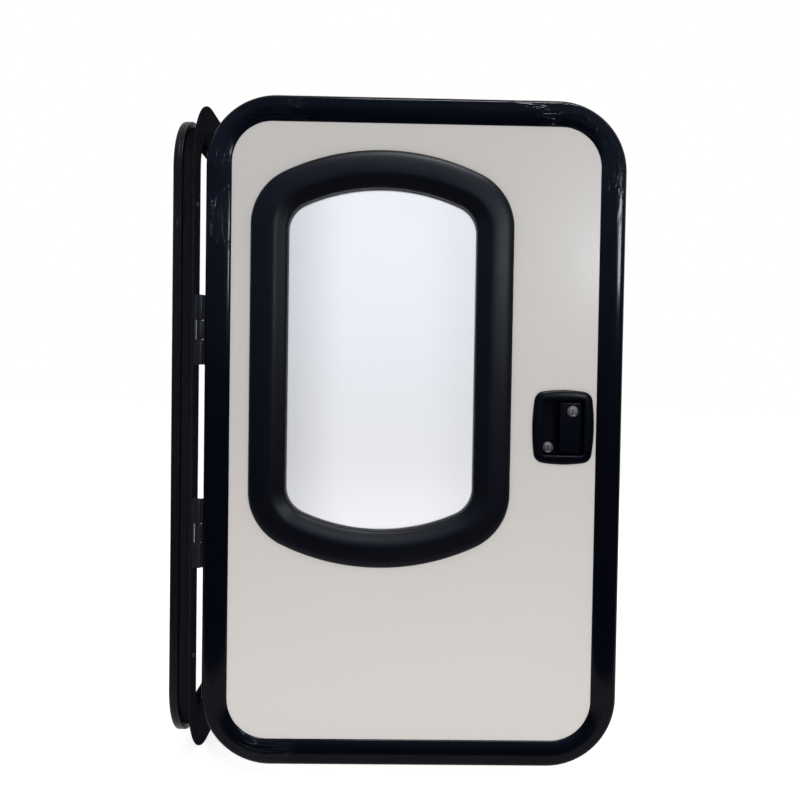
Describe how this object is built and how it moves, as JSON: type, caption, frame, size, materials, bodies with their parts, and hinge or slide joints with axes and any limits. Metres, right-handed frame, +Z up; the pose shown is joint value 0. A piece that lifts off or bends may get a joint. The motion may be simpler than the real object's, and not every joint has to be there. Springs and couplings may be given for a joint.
{
  "type": "caravan entry door",
  "caption": "Caravan entry door with rounded corners: a white panel leaf with an arched window and a paddle lock, hinged to a black wall frame.",
  "frame": {"origin": "on the back face of the frame's outside flange, in the middle of its lower run", "axes": "+X out of the caravan's wall, +Y along the wall from the hinges to the lock side, +Z up; the open leaf shows its outer face to -Y"},
  "size_m": [0.7605, 0.7305, 1.148],
  "materials": {
    "black_profile": "gloss black coated aluminium",
    "white_skin": "satin white sheet",
    "foam_core": "rigid foam",
    "black_trim": "fine grained black moulding",
    "seal_rubber": "matt black rubber",
    "clear_pane": "clear acrylic",
    "hinge_black": "satin black",
    "lock_black": "satin black die casting",
    "key_metal": "satin nickel",
    "bolt_steel": "zinc plated"
  },
  "bodies": {
    "frame": {"frame_flange": "black_profile", "frame_jamb": "black_profile", "clamp_ring": "black_profile", "clamp_cover": "black_profile", "frame_seal": "seal_rubber", "strike_plate": "bolt_steel", "upper_hinge_frame_plate": "hinge_black", "lower_hinge_frame_plate": "hinge_black"},
    "leaf": {"leaf_lip": "black_profile", "leaf_channel": "black_profile", "outer_skin": "white_skin", "panel_core": "foam_core", "inner_skin": "white_skin", "window_outer_trim": "black_trim", "window_pane": "clear_pane", "window_inner_trim": "black_trim", "upper_hinge_leaf_strip": "hinge_black", "lower_hinge_leaf_strip": "hinge_black", "lock_bezel": "lock_black", "lock_tray": "lock_black", "paddle_pin": "bolt_steel", "lock_case": "bolt_steel", "lock_faceplate": "bolt_steel", "latch_bolt": "bolt_steel", "deadbolt": "bolt_steel", "lock_inner_plate": "lock_black", "inner_lever": "lock_black", "thumb_turn": "lock_black"},
    "paddle": {"lock_paddle": "lock_black"},
    "paddle_key": {"paddle_cylinder": "key_metal"},
    "deadbolt_key": {"deadbolt_cylinder": "key_metal"}
  },
  "joints": [
    {"name": "leaf_swing", "type": "hinge", "parent": "frame", "child": "leaf", "pos_m": [0.014, -0.357, 0.556], "axis": [0, 0, -1], "range_deg": [-90, 70]},
    {"name": "paddle_pull", "type": "hinge", "parent": "leaf", "child": "paddle", "pos_m": [0.6503, -0.3535, 0.572], "axis": [0, 0, 1], "range_deg": [0, 25], "stiffness_Nm_per_rad": 0.4},
    {"name": "paddle_key_turn", "type": "hinge", "parent": "paddle", "child": "paddle_key", "pos_m": [0.6383, -0.3525, 0.599], "axis": [0, -1, 0], "range_deg": [0, 90]},
    {"name": "deadbolt_key_turn", "type": "hinge", "parent": "leaf", "child": "deadbolt_key", "pos_m": [0.5998, -0.3525, 0.537], "axis": [0, -1, 0], "range_deg": [0, 90]}
  ]
}
